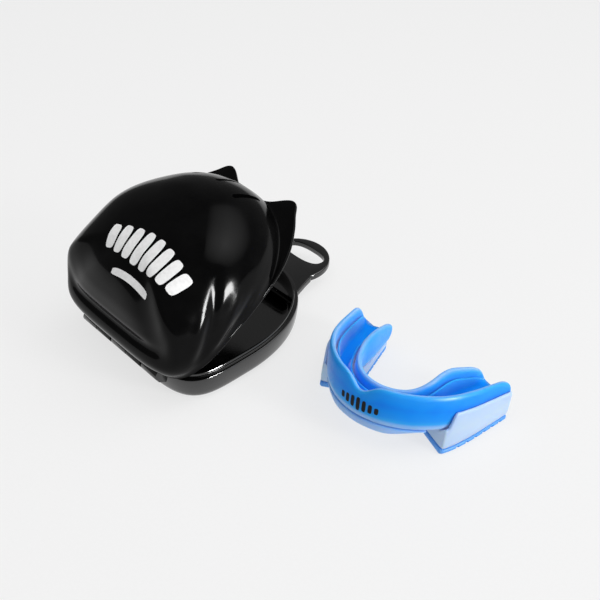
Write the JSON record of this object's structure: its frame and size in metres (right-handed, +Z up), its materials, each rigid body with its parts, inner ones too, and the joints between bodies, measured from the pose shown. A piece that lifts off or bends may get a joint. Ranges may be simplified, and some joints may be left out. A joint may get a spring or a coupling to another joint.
{
  "type": "mouthguard with case",
  "caption": "Moulded sports mouthguard standing beside its hinged clamshell case, lid ajar, with vent slots and a flat carry loop.",
  "frame": {"origin": "middle of the case's flat underside, on the surface it stands on", "axes": "+Z up, +X along the hinge towards the guard, +Y from the hinge to the carry loop"},
  "size_m": [0.1602, 0.1111, 0.0657],
  "materials": {
    "case_black": "black injection moulded plastic, high gloss",
    "pin_steel": "drawn steel rod",
    "guard_blue": "translucent blue elastomer, satin",
    "guard_gel": "softer lighter blue gel, satin",
    "guard_pale": "pale translucent elastomer, satin"
  },
  "bodies": {
    "case_base": {"base_shell": "case_black", "hinge_pin": "pin_steel"},
    "case_lid": {"lid_shell": "case_black"},
    "guard": {"guard_shell": "guard_blue", "gel_liner": "guard_gel", "front_pad": "guard_gel", "left_wedge_pad": "guard_pale", "right_wedge_pad": "guard_pale", "left_sole": "guard_blue", "right_sole": "guard_blue"}
  },
  "joints": [
    {"name": "lid_hinge", "type": "hinge", "parent": "case_base", "child": "case_lid", "pos_m": [0, -0.0404, 0.011], "axis": [1, 0, 0], "range_deg": [-29, 95]},
    {"name": "guard_lift", "type": "slide", "parent": "case_base", "child": "guard", "axis": [0, 0, 1], "range_m": [0, 0.06]}
  ]
}
